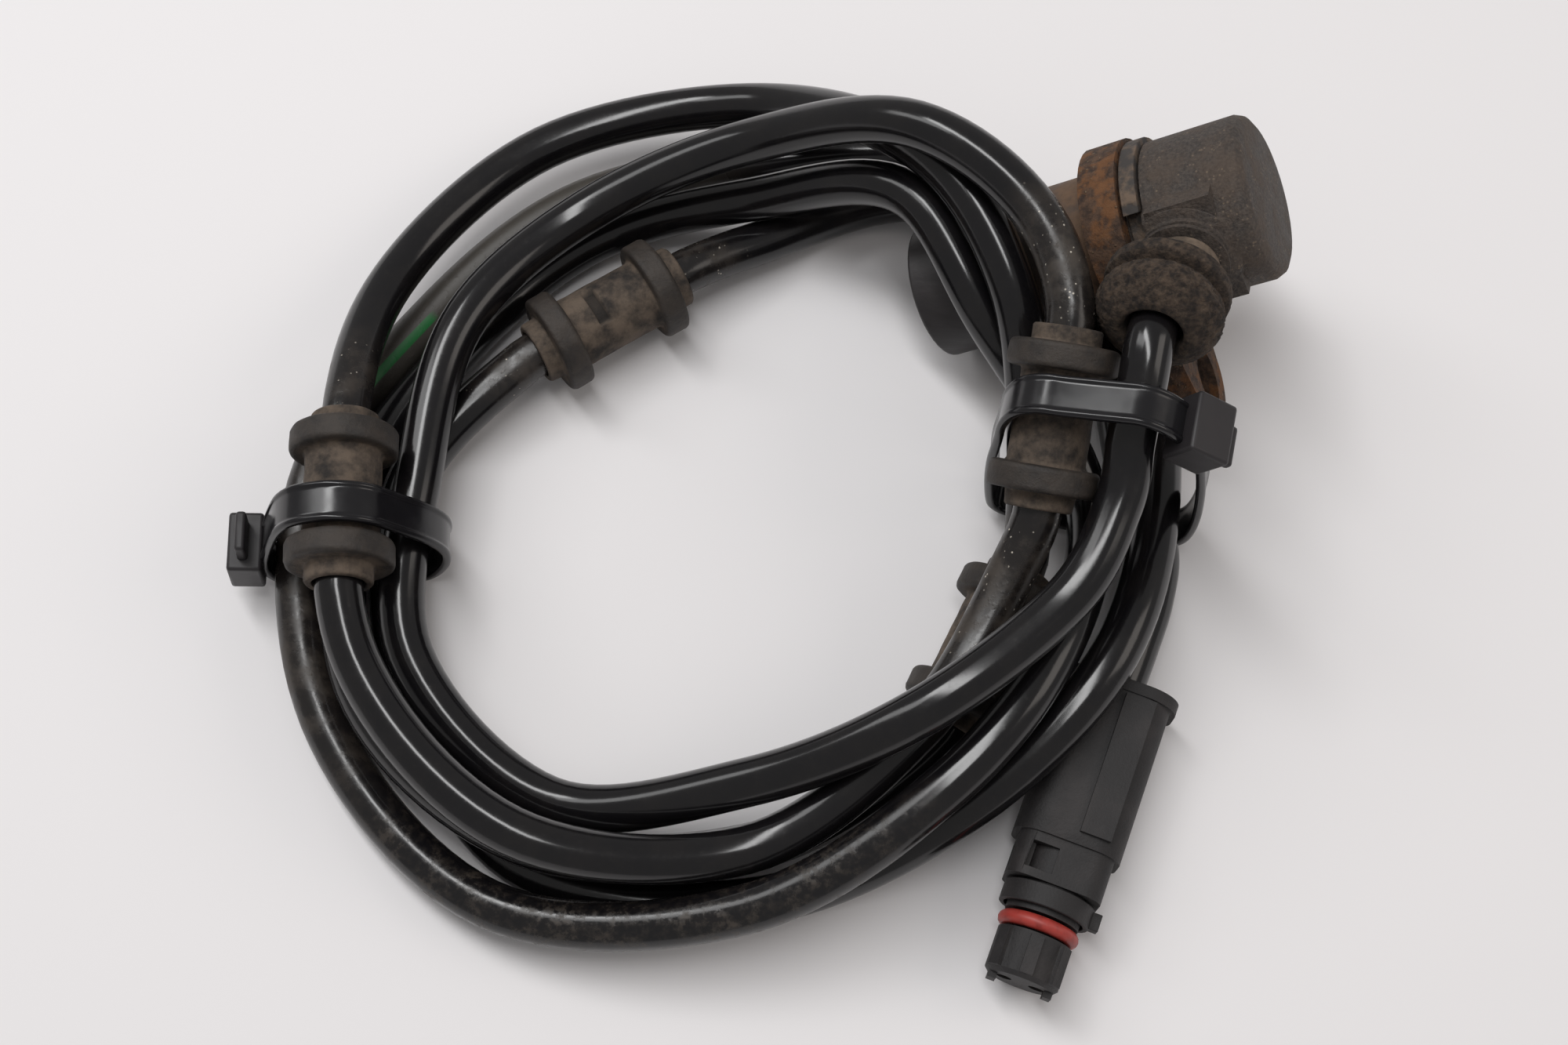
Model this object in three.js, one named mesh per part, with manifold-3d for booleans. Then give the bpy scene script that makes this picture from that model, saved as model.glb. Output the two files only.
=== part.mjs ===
// Used wheel speed sensor with its long cable coiled and tied, lying as it was photographed.
// Millimetres, +Z up. The table is at z = 0 of the photographed frame; the group is then moved so that
// the sensor head's own box has its bottom centre at the origin.
import * as THREE from "three";
import { mergeVertices } from "three/addons/utils/BufferGeometryUtils.js";
import Module from "manifold-3d";

// Driving dimensions

// sensor head, measured along its axis from the sensing tip
const BARREL_RADIUS = 8.2;
const BARREL_LENGTH = 23.2;
const BARREL_BORE = 6.3;
const TIP_WALL = 1.4;
const POLE_RADIUS = 2.0;
const PIECE_GAP = 0.3;
const NECK_RADIUS = 8.2;
const NECK_CLEARANCE = 0.3;
const COLLAR_WALL = 2.4;
const COLLAR_LENGTH = 4.5;
const BRACKET_START = BARREL_LENGTH + PIECE_GAP;
const BRACKET_END = BRACKET_START + COLLAR_LENGTH;
const BRACKET_RADIUS = NECK_RADIUS + NECK_CLEARANCE + COLLAR_WALL;
const EAR_THICKNESS = 3.0;
const EAR_REACH = 20.4;
const EAR_END_RADIUS = 6.0;
const EAR_HOLE_RADIUS = 3.2;
const EAR_ANGLE = 138;
const BAND_WALL = 1.9;
const BAND_WIDTH = 1.9;
const BAND_START = BRACKET_END + PIECE_GAP;
const BAND_END = BAND_START + BAND_WIDTH;
const BAND_RADIUS = NECK_RADIUS + NECK_CLEARANCE + BAND_WALL;
const BODY_LENGTH = 11.7;
const BODY_START = BAND_END + PIECE_GAP;
const BODY_END = BODY_START + BODY_LENGTH;
const BODY_RADIUS = 9.7;
const BOBBIN_END = 13.0;
const MAGNET_RADIUS = 4.2;
const MAGNET_START = BOBBIN_END + 0.5;
const MAGNET_END = MAGNET_START + 5.1;
const TERMINAL_START = MAGNET_END + PIECE_GAP;
const TERMINAL_END = BODY_START + 4.5;
const TERMINAL_PLACE = 2.4;
const TERMINAL_WIDTH = 2.2;
const TERMINAL_THICKNESS = 0.8;
const POCKET_RADIUS = 5.2;
const POCKET_START = BARREL_LENGTH - 3.2;
const POCKET_END = BODY_END - 3.8;
const OUTLET_STATION = BODY_START + 2.9;
const BOSS_REACH = 11.7;
const GLAND_LENGTH = 2.5;
const GLAND_INNER = 3.45;
const GLAND_RADIUS = 4.3;
const OUTLET_ANGLE = 55;
const HEAD_TIP = [19.0, 27.93, 6.92];
const HEAD_AXIS = [0.8564, 0.0374, 0.515];
const BOOT_START = [43.4, 18.6, 30.2];
const BOOT_AXIS = [-0.34, -0.9, 0.26];

// cable, one length wound five turns and a bit
const CABLE_DIAMETER = 5.5;
const CABLE_SIDES = 12;
const COIL_CENTRE = [-4.3, 2.7];
const STATION_ANGLE = 30;
const SAMPLE_ANGLE = 22.5;
const CABLE_LEAD = [
  [44.6, 19.5, 29.8],
  [43.5, 17.0, 31.0],
  [41.5, 13.7, 31.6],
  [39.9, 9.3, 32.8],
  [38.9, 4.4, 31.4],
  [37.9, -0.8, 28.2],
  [36.6, -7.2, 25.4],
];
// distance from the coil's centre and height at every 30 degrees: the part turn after the lead, then a row a turn
const COIL_TURNS = [
  [[40.4, 23.2], [37.4, 21.3], [38, 12.8], [44.5, 6.2], [44.6, 9.2],
    [38.6, 10.6], [39.4, 11.1], [39.6, 11], [39.8, 18], [38.9, 32.2], [39.2, 32.2]],
  [[35.8, 27], [33.5, 17.8], [37.6, 14.8], [45, 10.6], [50.6, 14.9], [50, 15.9],
    [46.4, 17.8], [50.5, 9.5], [52.4, 7], [49.8, 10], [39.9, 26], [34.8, 25.4]],
  [[33, 13.4], [35.4, 6.4], [38.8, 6.3], [43.6, 4.4], [50.4, 9.2], [51.6, 6.9],
    [46.9, 4.8], [40.4, 3.4], [39.4, 3.3], [37.2, 8.4], [36.1, 21.6], [32.1, 19.2]],
  [[40.3, 5.1], [41.7, 15.8], [44.8, 15.9], [51.5, 10], [57.8, 5.2], [56.8, 3.8],
    [52.8, 5], [46.3, 3], [45.3, 3], [45.2, 3], [52.7, 3], [54, 3.6]],
  [[48.4, 10.4], [47.7, 14.6], [47.2, 9.8], [49.6, 3.4], [51.9, 3.1], [46.4, 3.6],
    [40.9, 4.6], [31.6, 6.8], [28, 7.5], [32.6, 4.8], [46, 3], [48.3, 3]],
  [[46.3, 4.6]],
];
const CABLE_TAIL = [
  [44.2, -5.0, 5.0],
  [43.2, -11.5, 5.2],
  [40.9, -17.8, 5.4],
  [38.2, -24.3, 5.4],
  [37.0, -27.5, 5.4],
];

// grommets: where each one starts and ends, in degrees travelled round the coil
const GROMMET_SPANS = [
  [343.6, 378.4],
  [520.5, 545.5],
  [738.4, 774],
  [1651, 1694],
];
const GROMMET_LENGTH = 20.4;
const GROMMET_BODY = 4.4;
const GROMMET_COLLAR = 3.9;
const GROMMET_FLANGE = 6.2;
const GROMMET_BORE = 3.05;
const FLANGE_INNER = 5.3;
const FLANGE_OUTER = 8.3;

// cable ties: strap ribbon centre-lines across the bundle, and the head blocks
const STRAP_WIDTH = 4.8;
const STRAP_THICKNESS = 0.9;
const TIE_1_PLACE = [35.0, 1.2, 0];
const TIE_1_TURN = -13;
const TIE_1_LOOP = [
  [-9.9, 3.6], [-10.9, 14.6], [-10.6, 22.6], [-10.7, 27.2], [-9.7, 30.8], [-7.5, 32.7], [-5.1, 33.0],
  [1.3, 34.7], [3.4, 35.3], [5.8, 34.5], [7.8, 32.7], [10.6, 29.2], [12.4, 21.0], [13.6, 11.6], [13.6, 5.8],
  [12.9, 3.0], [11.2, 1.2], [9.0, 0.55], [-6.2, 0.55], [-8.8, 1.4],
];
const TIE_2_PLACE = [-50.8, -5.7, 0];
const TIE_2_TURN = 2;
const TIE_2_LOOP = [
  [-10.5, 4.6], [-10.3, 8.0], [-6.8, 17.6], [-5.0, 20.5], [-3.2, 21.9], [0.5, 22.8], [4.3, 21.6],
  [6.8, 18.2], [9.8, 14.2], [11.2, 10.4], [10.8, 6.6], [9.3, 3.2], [7.8, 1.2], [6.0, 0.55],
  [-7.6, 0.55], [-9.6, 1.9],
];

// connector, measured along its axis from the rear lip to the nose
const CONNECTOR_REAR = [38.9, -22.6, 5.4];
const CONNECTOR_AXIS = [-0.358, -0.934, 0];
const HOUSING_WIDTH = 12.4;
const HOUSING_HEIGHT = 10.2;
const HOUSING_LENGTH = 20.1;
const HOUSING_CORNER = 3.5;
const LIP_WIDTH = 13.8;
const FRAME_WIDTH = 11.0;
const FRAME_END = 25.2;
const HOUSING_BORE = 4.55;
const INSERT_RADIUS = 4.25;
const NOSE_END = 36.6;
const O_RING_STATION = 29.6;
const O_RING_TUBE = 0.85;
const PIN_SPACING = 3.8;

const wasm = await Module();
wasm.setup();

const degrees = (angle) => (angle * Math.PI) / 180;
const vector = (list) => new THREE.Vector3(list[0], list[1], list[2]);

// Materials

const paint = (hex, roughness, metalness) =>
  new THREE.MeshStandardMaterial({ color: hex, roughness: roughness, metalness: metalness });
const blackPlastic = paint(0x2b2a2b, 0.6, 0);
const bodyPlastic = paint(0x34312f, 0.75, 0);
const bootRubber = paint(0x3a332c, 0.95, 0);
const grommetRubber = paint(0x4a443c, 0.9, 0);
const cableJacket = paint(0x222224, 0.35, 0);
const tieNylon = paint(0x1d1d1f, 0.35, 0);
const rustySteel = paint(0x6b4a30, 0.9, 0.4);
const ironCore = paint(0x8a8a88, 0.5, 0.8);
const magnetSteel = paint(0x70706e, 0.45, 0.8);
const copperWire = paint(0xa8622e, 0.4, 0.9);
const brassStrip = paint(0xb08d46, 0.4, 0.9);
const redSilicone = paint(0xb4382f, 0.5, 0);
const connectorPlastic = paint(0x2f2e30, 0.7, 0);
const sealRubber = paint(0x2a2826, 0.85, 0);

// Geometry helpers

// closed surface with only positions, its corners shared and its faces pointing out
function closed(geometry) {
  const plain = geometry.clone();
  plain.deleteAttribute("normal");
  plain.deleteAttribute("uv");
  const shared = mergeVertices(plain, 1e-4);
  const index = shared.getIndex().array;
  const position = shared.getAttribute("position");
  const kept = [];
  let volume = 0;
  const a = new THREE.Vector3();
  const b = new THREE.Vector3();
  const c = new THREE.Vector3();
  for (let i = 0; i < index.length; i += 3) {
    const [p, q, r] = [index[i], index[i + 1], index[i + 2]];
    if (p === q || q === r || p === r) continue;
    kept.push(p, q, r);
    a.fromBufferAttribute(position, p);
    b.fromBufferAttribute(position, q);
    c.fromBufferAttribute(position, r);
    volume += a.dot(b.cross(c)) / 6;
  }
  if (volume < 0) {
    for (let i = 0; i < kept.length; i += 3) {
      [kept[i], kept[i + 1]] = [kept[i + 1], kept[i]];
    }
  }
  shared.setIndex(kept);
  return shared;
}

function toSolid(geometry) {
  const shared = closed(geometry);
  return new wasm.Manifold(
    new wasm.Mesh({
      numProp: 3,
      vertProperties: new Float32Array(shared.getAttribute("position").array),
      triVerts: new Uint32Array(shared.getIndex().array),
    }),
  );
}

function toGeometry(solid) {
  const mesh = solid.getMesh();
  const geometry = new THREE.BufferGeometry();
  geometry.setAttribute("position", new THREE.BufferAttribute(new Float32Array(mesh.vertProperties), 3));
  geometry.setIndex(Array.from(mesh.triVerts));
  return geometry;
}

// joins the first list of shapes, then cuts the second list out of it
function shaped(joined, cutters = []) {
  let solid = toSolid(joined[0]);
  for (const piece of joined.slice(1)) {
    solid = solid.add(toSolid(piece));
  }
  for (const cutter of cutters) {
    solid = solid.subtract(toSolid(cutter));
  }
  return toGeometry(solid);
}

// turned shape about Z from [radius, station] pairs; a profile off the axis closes on itself
function turned(pairs, sides = 40) {
  const points = pairs.map(([r, z]) => new THREE.Vector2(r, z));
  if (pairs[0][0] > 0) points.push(points[0].clone());
  const geometry = new THREE.LatheGeometry(points, sides);
  geometry.rotateX(Math.PI / 2);
  return geometry;
}

function ring(inner, outer, start, end, sides = 40) {
  return turned([[inner, start], [outer, start], [outer, end], [inner, end]], sides);
}

function rod(radius, start, end, sides = 24) {
  return turned([[0, start], [radius, start], [radius, end], [0, end]], sides);
}

function block(width, depth, height, x, y, z) {
  return new THREE.BoxGeometry(width, depth, height).translate(x, y, z);
}

function roundedShape(width, height, corner) {
  const x = width / 2 - corner;
  const y = height / 2 - corner;
  const shape = new THREE.Shape();
  shape.absarc(x, y, corner, 0, Math.PI / 2, false);
  shape.absarc(-x, y, corner, Math.PI / 2, Math.PI, false);
  shape.absarc(-x, -y, corner, Math.PI, 1.5 * Math.PI, false);
  shape.absarc(x, -y, corner, 1.5 * Math.PI, 2 * Math.PI, false);
  return shape;
}

function prism(shape, start, end, curveSegments = 6) {
  return new THREE.ExtrudeGeometry(shape, {
    depth: end - start,
    bevelEnabled: false,
    curveSegments: curveSegments,
    steps: 1,
  }).translate(0, 0, start);
}

// matrix that takes +Z to a direction and +X as near as possible to a hint
function placed(origin, direction, hint) {
  const z = direction.clone().normalize();
  const x = hint.clone().addScaledVector(z, -hint.dot(z)).normalize();
  const y = new THREE.Vector3().crossVectors(z, x);
  return new THREE.Matrix4().makeBasis(x, y, z).setPosition(origin);
}

const group = new THREE.Group();

function add(name, geometry, material, matrix) {
  const shape = closed(geometry);
  if (matrix) shape.applyMatrix4(matrix);
  shape.computeVertexNormals();
  const mesh = new THREE.Mesh(shape, material);
  mesh.name = name;
  group.add(mesh);
  return mesh;
}

// Sensor head

const up = new THREE.Vector3(0, 0, 1);
const head = placed(vector(HEAD_TIP), vector(HEAD_AXIS), up);
const outletTurn = new THREE.Matrix4()
  .makeRotationZ(degrees(OUTLET_ANGLE))
  .multiply(new THREE.Matrix4().makeRotationY(Math.PI / 2));
const outletPlace = new THREE.Matrix4().makeTranslation(0, 0, OUTLET_STATION).multiply(outletTurn);
const alongOutlet = (geometry) => geometry.applyMatrix4(outletPlace);

// thin plastic nose with a closed sensing face and a hole for the pole pin
const barrel = turned([
  [POLE_RADIUS + 0.3, 0],
  [BARREL_RADIUS - 0.25, 0],
  [BARREL_RADIUS, 0.25],
  [BARREL_RADIUS, BARREL_LENGTH],
  [BARREL_BORE, BARREL_LENGTH],
  [BARREL_BORE, TIP_WALL],
  [POLE_RADIUS + 0.3, TIP_WALL],
]);
add("sensor_barrel", barrel, blackPlastic, head);

// soft iron pin that reaches the sensing face
add("pole_pin", rod(POLE_RADIUS, 0.15, 13.2, 20), ironCore, head);

// bobbin with two cheeks, and the winding between them
const bobbin = turned(
  [[2.35, 1.8], [5.9, 1.8], [5.9, 2.8], [3.1, 2.8], [3.1, BOBBIN_END - 1], [5.9, BOBBIN_END - 1],
    [5.9, BOBBIN_END], [2.35, BOBBIN_END]],
  28,
);
add("coil_bobbin", bobbin, bodyPlastic, head);
add("coil_winding", ring(3.4, 5.5, 3.1, BOBBIN_END - 1.3, 28), copperWire, head);
add("magnet", rod(MAGNET_RADIUS, MAGNET_START, MAGNET_END, 24), magnetSteel, head);
const terminalMiddle = (TERMINAL_START + TERMINAL_END) / 2;
const terminalLength = TERMINAL_END - TERMINAL_START;
[1, -1].forEach((side, i) => {
  const x = side * TERMINAL_PLACE;
  const strip = block(TERMINAL_THICKNESS, TERMINAL_WIDTH, terminalLength, x, 0, terminalMiddle);
  add(`terminal_${i + 1}`, strip, brassStrip, head);
});

// rusty steel collar with its bolt ear, one piece
const earAngle = Math.acos((BRACKET_RADIUS - 0.4 - EAR_END_RADIUS) / EAR_REACH);
const earShape = new THREE.Shape();
earShape.absarc(0, 0, BRACKET_RADIUS - 0.4, earAngle, 2 * Math.PI - earAngle, false);
earShape.absarc(EAR_REACH, 0, EAR_END_RADIUS, -earAngle, earAngle, false);
const earBore = new THREE.Path();
earBore.absarc(0, 0, (NECK_RADIUS + BRACKET_RADIUS) / 2 - 0.05, 0, 2 * Math.PI, true);
const earHole = new THREE.Path();
earHole.absellipse(EAR_REACH, 0, EAR_HOLE_RADIUS + 0.6, EAR_HOLE_RADIUS, 0, 2 * Math.PI, true);
earShape.holes.push(earBore, earHole);
const ear = prism(earShape, BRACKET_END - EAR_THICKNESS, BRACKET_END - 0.05, 14);
ear.rotateZ(degrees(EAR_ANGLE));
const collar = ring(NECK_RADIUS + NECK_CLEARANCE, BRACKET_RADIUS, BRACKET_START, BRACKET_END);
add("mounting_bracket", shaped([collar, ear]), rustySteel, head);

// plastic band behind the collar with one rectangular notch
const band = ring(NECK_RADIUS + NECK_CLEARANCE, BAND_RADIUS, BAND_START, BAND_END);
const notch = block(4.0, 3.6, 4.0, 0, BAND_RADIUS, (BAND_START + BAND_END) / 2 - 0.05).rotateZ(degrees(-62));
add("locating_band", shaped([band], [notch]), blackPlastic, head);

// moulded body: neck through the collar, round body, and the side boss for the cable
const bodyCore = turned([
  [0, BARREL_LENGTH + 0.3],
  [NECK_RADIUS, BARREL_LENGTH + 0.3],
  [NECK_RADIUS, BODY_START],
  [BODY_RADIUS, BODY_START],
  [BODY_RADIUS, BODY_END - 1.4],
  [BODY_RADIUS - 0.4, BODY_END - 0.5],
  [BODY_RADIUS - 1.3, BODY_END],
  [0, BODY_END],
]);
const boss = alongOutlet(
  turned([[0, 2], [7.0, 2], [6.9, 8.6], [6.3, 9.6], [5.3, 9.8], [5.3, 10.5], [4.7, 10.6], [4.7, 11.0],
    [5.3, 11.1], [5.3, BOSS_REACH], [0, BOSS_REACH]], 32),
);
const bossCheek = block(6.6, 13.4, 7.6, 6.2, 0, OUTLET_STATION + 1.4).rotateZ(degrees(OUTLET_ANGLE));
const pocket = rod(POCKET_RADIUS, POCKET_START, POCKET_END, 28);
const outletBore = alongOutlet(rod(3.3, 0, 14, 20));
const bandRoom = ring(NECK_RADIUS, 12, BRACKET_START - 1, BODY_START - 0.05);
add("sensor_body", shaped([bodyCore, boss, bossCheek], [pocket, outletBore, bandRoom]), bodyPlastic, head);

// stepped sleeve that stands out of the boss inside the boot
const glandStart = BOSS_REACH + PIECE_GAP;
const gland = alongOutlet(ring(GLAND_INNER, GLAND_RADIUS, glandStart, glandStart + GLAND_LENGTH, 28));
add("cable_gland", gland, blackPlastic, head);

// crumbly rubber boot: flange, groove and dome, hollow behind the flange
const bootProfile = [
  [5.6, 1.5], [6.6, 1.5], [6.95, 1.9], [6.95, 3.4], [6.7, 3.8], [6.3, 4.0], [6.3, 4.5], [6.8, 4.9],
  [7.1, 6.2], [6.6, 7.9], [5.4, 9.0], [4.4, 9.4], [3.7, 9.4], [3.3, 8.4], [3.15, 4.8], [5.6, 3.4],
];
const bootPlace = placed(vector(BOOT_START), vector(BOOT_AXIS), up);
add("cable_boot", turned(bootProfile, 30), bootRubber, bootPlace);

// Cable

// all hand-set points in order, with the degree travelled at each one
const knots = CABLE_LEAD.map((p, i) => ({
  degree: (i + 1 - CABLE_LEAD.length) * STATION_ANGLE,
  point: vector(p),
}));
COIL_TURNS.flat().forEach(([radius, height], i) => {
  const degree = (i + 1) * STATION_ANGLE;
  const angle = degrees(-degree);
  knots.push({
    degree: degree,
    point: new THREE.Vector3(
      COIL_CENTRE[0] + radius * Math.cos(angle),
      COIL_CENTRE[1] + radius * Math.sin(angle),
      height,
    ),
  });
});
const coilEnd = knots[knots.length - 1].degree;
CABLE_TAIL.forEach((p, i) => {
  knots.push({ degree: coilEnd + (i + 1) * STATION_ANGLE, point: vector(p) });
});
const firstDegree = knots[0].degree;
const lastDegree = knots[knots.length - 1].degree;

// smooth centre-line through the hand-set points
function smoothPoint(degree) {
  const place = (degree - firstDegree) / STATION_ANGLE;
  const i = Math.min(Math.max(Math.floor(place + 1e-9), 0), knots.length - 2);
  const t = place - i;
  const p1 = knots[i].point;
  const p2 = knots[i + 1].point;
  const p0 = i > 0 ? knots[i - 1].point : p1.clone().multiplyScalar(2).sub(p2);
  const p3 = i + 2 < knots.length ? knots[i + 2].point : p2.clone().multiplyScalar(2).sub(p1);
  const blend = (a, b, c, d) =>
    0.5 * (2 * b + (c - a) * t + (2 * a - 5 * b + 4 * c - d) * t * t + (3 * b - a - 3 * c + d) * t ** 3);
  return new THREE.Vector3(
    blend(p0.x, p1.x, p2.x, p3.x),
    blend(p0.y, p1.y, p2.y, p3.y),
    blend(p0.z, p1.z, p2.z, p3.z),
  );
}

// ring stations: the lead and tail points, even steps round the coil, and both ends of each grommet
const stations = knots.filter((k) => k.degree <= 0 || k.degree > coilEnd).map((k) => k.degree);
for (let degree = SAMPLE_ANGLE; degree <= coilEnd + 1; degree += SAMPLE_ANGLE) {
  if (GROMMET_SPANS.every(([start, end]) => degree < start - 6 || degree > end + 6)) {
    stations.push(degree);
  }
}
GROMMET_SPANS.forEach((span) => stations.push(...span));
stations.sort((a, b) => a - b);
const centreLine = stations.map(smoothPoint);

class StationPath extends THREE.Curve {
  getPoint(t) {
    const place = t * (centreLine.length - 1);
    const i = Math.min(Math.max(Math.floor(place), 0), centreLine.length - 2);
    return centreLine[i].clone().lerp(centreLine[i + 1], place - i);
  }
  getUtoTmapping(u) {
    return u;
  }
}

const cableSection = new THREE.Shape();
for (let i = 0; i < CABLE_SIDES; i += 1) {
  const angle = (i * 2 * Math.PI) / CABLE_SIDES;
  const x = (CABLE_DIAMETER / 2) * Math.cos(angle);
  const y = (CABLE_DIAMETER / 2) * Math.sin(angle);
  if (i === 0) cableSection.moveTo(x, y);
  else cableSection.lineTo(x, y);
}
const cable = new THREE.ExtrudeGeometry(cableSection, {
  steps: centreLine.length - 1,
  extrudePath: new StationPath(),
  bevelEnabled: false,
});
add("sensor_cable", cable, cableJacket);

// Grommets

const half = GROMMET_LENGTH / 2;
const grommetProfile = [
  [GROMMET_BORE, -half], [GROMMET_COLLAR, -half], [GROMMET_COLLAR, -FLANGE_OUTER],
  [GROMMET_FLANGE - 0.5, -FLANGE_OUTER], [GROMMET_FLANGE, -FLANGE_OUTER + 0.5],
  [GROMMET_FLANGE, -FLANGE_INNER - 0.5], [GROMMET_FLANGE - 0.5, -FLANGE_INNER], [GROMMET_BODY, -FLANGE_INNER],
  [GROMMET_BODY, FLANGE_INNER], [GROMMET_FLANGE - 0.5, FLANGE_INNER], [GROMMET_FLANGE, FLANGE_INNER + 0.5],
  [GROMMET_FLANGE, FLANGE_OUTER - 0.5], [GROMMET_FLANGE - 0.5, FLANGE_OUTER],
  [GROMMET_COLLAR, FLANGE_OUTER], [GROMMET_COLLAR, half], [GROMMET_BORE, half],
];
const slotWindow = block(3.0, 3.4, 1.6, GROMMET_BODY, 0, -1.4);
const grommet = shaped([turned(grommetProfile, 28)], [slotWindow]);
GROMMET_SPANS.forEach(([start, end], i) => {
  const from = smoothPoint(start);
  const to = smoothPoint(end);
  const middle = from.clone().add(to).multiplyScalar(0.5);
  add(`grommet_${i + 1}`, grommet, grommetRubber, placed(middle, to.sub(from), up));
});

// Cable ties

// closed ribbon loop: the centre-line moved out and in by half the strap's thickness
function strapLoop(loop) {
  const count = loop.length;
  const side = (distance) =>
    loop.map(([x, z], i) => {
      const [px, pz] = loop[(i + count - 1) % count];
      const [nx, nz] = loop[(i + 1) % count];
      const before = new THREE.Vector2(x - px, z - pz).normalize();
      const after = new THREE.Vector2(nx - x, nz - z).normalize();
      const along = before.add(after).normalize();
      const lean = along.dot(after);
      return new THREE.Vector2(x - (along.y * distance) / lean, z + (along.x * distance) / lean);
    });
  const shape = new THREE.Shape(side(STRAP_THICKNESS / 2));
  shape.holes.push(new THREE.Path(side(-STRAP_THICKNESS / 2).reverse()));
  return prism(shape, -STRAP_WIDTH / 2, STRAP_WIDTH / 2).rotateX(Math.PI / 2);
}

function tie(name, loop, parts, place, turn) {
  const matrix = new THREE.Matrix4()
    .makeTranslation(place[0], place[1], place[2])
    .multiply(new THREE.Matrix4().makeRotationZ(degrees(turn)));
  add(name, shaped([strapLoop(loop), ...parts]), tieNylon, matrix);
}

const tie1Head = block(5.2, 7.0, 5.2, 0, 0, 0).rotateY(degrees(30)).translate(10.1, 0, 31.2);
const tie1Stub = block(2.4, STRAP_WIDTH, 1.2, 0, 0, 0).rotateY(degrees(30)).translate(13.1, 0, 29.5);
tie("cable_tie_1", TIE_1_LOOP, [tie1Head, tie1Stub], TIE_1_PLACE, TIE_1_TURN);
const tie2Head = block(4.0, 7.2, 6.4, 0, 0, 0).rotateY(degrees(8)).translate(-12.4, 0, 7.4);
const tie2Stub = block(1.2, STRAP_WIDTH, 5, 0, 0, 0).rotateY(degrees(8)).translate(-12.0, 0, 11.8);
tie("cable_tie_2", TIE_2_LOOP, [tie2Head, tie2Stub], TIE_2_PLACE, TIE_2_TURN);

// Connector

const plug = placed(vector(CONNECTOR_REAR), vector(CONNECTOR_AXIS), up);
// in the connector's own frame x is up, y is sideways and z runs to the nose
const shell = prism(roundedShape(HOUSING_HEIGHT, HOUSING_WIDTH, HOUSING_CORNER), 0.2, HOUSING_LENGTH);
const lip = prism(roundedShape(10.5, LIP_WIDTH, 3.9), 0, 1.4);
const frame = prism(roundedShape(9.4, FRAME_WIDTH, 2.4), HOUSING_LENGTH - 0.4, FRAME_END);
const ridge = block(1.2, 3.6, 17, HOUSING_HEIGHT / 2, -2.4, 10.2);
const housingBore = rod(HOUSING_BORE, 6.5, 30, 32);
const rearBore = rod(4.15, -2, 7, 32);
const windowTop = block(3.0, 3.2, 3.0, 4.6, 2.4, 22.7);
const windowSide = block(4.2, 3.0, 3.0, 0, -5.4, 22.7);
const windowOther = block(4.2, 3.0, 3.0, 0, 5.4, 22.7);
const housing = shaped(
  [shell, lip, frame, ridge],
  [housingBore, rearBore, windowTop, windowSide, windowOther],
);
add("connector_housing", housing, connectorPlastic, plug);

// loose collar in front of the housing with its small tab
const collarTab = block(1.6, 1.5, 2.0, 0, -5.5, 26.7);
const latchCollar = shaped([ring(4.6, 5.2, FRAME_END + 0.3, 27.9, 36), collarTab]);
add("connector_collar", latchCollar, connectorPlastic, plug);

// insert that carries the pins, with the ring's groove and the ribbed nose
const insertCore = turned([
  [0, 9], [INSERT_RADIUS, 9], [INSERT_RADIUS, 28.5], [2.75, 28.5], [2.75, 30.7], [INSERT_RADIUS, 30.7],
  [INSERT_RADIUS, NOSE_END - 1.2], [INSERT_RADIUS - 0.5, NOSE_END - 0.7], [0, NOSE_END - 0.7],
], 36);
const ribs = [40, 90, 140].map((angle) =>
  block(1.0, 1.5, 4.4, INSERT_RADIUS, 0, 33.2).rotateZ(degrees(angle - 90)),
);
const guards = [-1, 1].map((side) => block(2.2, 1.0, 1.6, 0, side * 3.2, NOSE_END - 0.8));
const pinHoles = [-1, 1].map((side) =>
  rod(0.95, 5, 40, 16).translate(0, (side * PIN_SPACING) / 2, 0),
);
add("connector_insert", shaped([insertCore, ...ribs, ...guards], pinHoles), connectorPlastic, plug);
[-1, 1].forEach((side, i) => {
  const pin = rod(0.6, 14, 35.4, 12).translate(0, (side * PIN_SPACING) / 2, 0);
  add(`contact_pin_${i + 1}`, pin, brassStrip, plug);
});
add("connector_rear_seal", ring(3.05, 3.9, 0.8, 5.2, 28), sealRubber, plug);
const redRing = new THREE.TorusGeometry(3.85, O_RING_TUBE, 12, 40).translate(0, 0, O_RING_STATION);
add("connector_o_ring", redRing, redSilicone, plug);

// Origin: bottom centre of the box round the sensor head's own pieces

const headNames = [
  "sensor_barrel", "pole_pin", "coil_bobbin", "coil_winding", "magnet", "terminal_1", "terminal_2",
  "mounting_bracket", "locating_band", "sensor_body", "cable_gland", "cable_boot",
];
const headBox = new THREE.Box3();
for (const mesh of group.children) {
  if (headNames.includes(mesh.name)) headBox.expandByObject(mesh, true);
}
const centre = headBox.getCenter(new THREE.Vector3());
const offset = new THREE.Vector3(-centre.x, -centre.y, -headBox.min.z);
group.children.forEach((mesh) => mesh.geometry.translate(offset.x, offset.y, offset.z));

export default group;
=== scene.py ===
"""Used wheel speed sensor with its long cable coiled and tied, lying on a pale table.

Metres, +Z up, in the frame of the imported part. Each section makes one piece or group of like pieces.
"""

import math

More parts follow.
